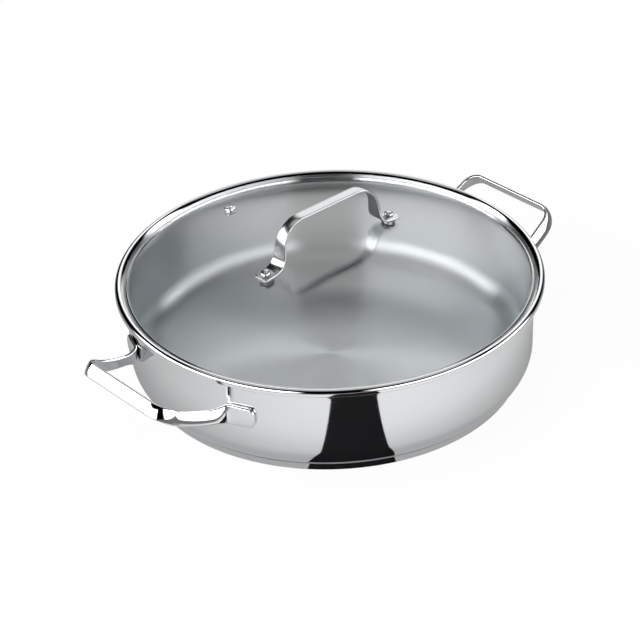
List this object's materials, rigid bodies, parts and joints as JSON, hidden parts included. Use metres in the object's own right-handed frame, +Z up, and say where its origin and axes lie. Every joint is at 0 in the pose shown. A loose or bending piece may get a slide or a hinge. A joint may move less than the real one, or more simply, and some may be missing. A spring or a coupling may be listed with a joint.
{
  "type": "serving pan with lid",
  "caption": "Shallow round stainless steel serving pan with a curled lip, encapsulated base and welded strip side handles, under a domed glass lid with a bow handle and steam vent.",
  "frame": {"origin": "centre of the base's underside, on the pan's axis", "axes": "+Z up along the pan's axis, +X out through the middle of the right side handle, +Y towards the lid's steam vent"},
  "size_m": [0.3696, 0.2934, 0.1263],
  "materials": {
    "pan_steel": "mirror polished outside, satin brushed in circles inside",
    "polished_steel": "mirror polished",
    "base_core": "bare",
    "lid_glass": "clear tempered",
    "gasket": "matt"
  },
  "bodies": {
    "pan": {"pan_body": "pan_steel", "base_cap": "polished_steel", "base_core": "base_core", "side_handle_right": "polished_steel", "side_handle_left": "polished_steel"},
    "lid": {"lid_glass": "lid_glass", "lid_rim_band": "polished_steel", "lid_handle": "polished_steel", "lid_rivet_right": "polished_steel", "lid_rivet_left": "polished_steel", "rivet_washer_right": "polished_steel", "rivet_washer_left": "polished_steel", "vent_eyelet": "polished_steel", "vent_washer": "polished_steel", "upper_gasket_right": "gasket", "upper_gasket_left": "gasket", "lower_gasket_right": "gasket", "lower_gasket_left": "gasket"}
  },
  "joints": [
    {"name": "lid_lift", "type": "slide", "parent": "pan", "child": "lid", "axis": [0, 0, 1], "range_m": [0, 0.15]}
  ]
}
